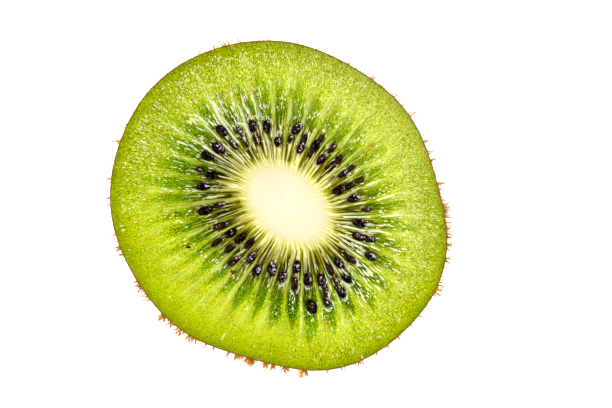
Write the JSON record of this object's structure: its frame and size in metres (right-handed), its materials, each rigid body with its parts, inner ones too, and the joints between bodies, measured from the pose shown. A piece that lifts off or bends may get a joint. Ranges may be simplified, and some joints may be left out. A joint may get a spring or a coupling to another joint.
{
  "type": "kiwi slice",
  "caption": "Cross slice of a ripe green kiwi fruit, oval, with a pale core, a ring of dark seeds and a thin brown hairy skin. It lies flat on one cut face.",
  "frame": {"origin": "on the fruit's axis, in the lower cut face that the slice rests on", "axes": "+Z along the fruit's axis, up through the shown cut face; +X to the right and +Y up the slice as it is seen face on"},
  "size_m": [0.0498, 0.0488, 0.0082],
  "materials": {
    "flesh": "wet cut fruit flesh, yellow-green with a cream core and dark green seed chambers",
    "skin": "thin dry brown skin with short stiff hairs",
    "seed": "smooth brown-black seed coat, wet"
  },
  "bodies": {
    "root": {"kiwi_slice": "flesh"}
  },
  "joints": []
}
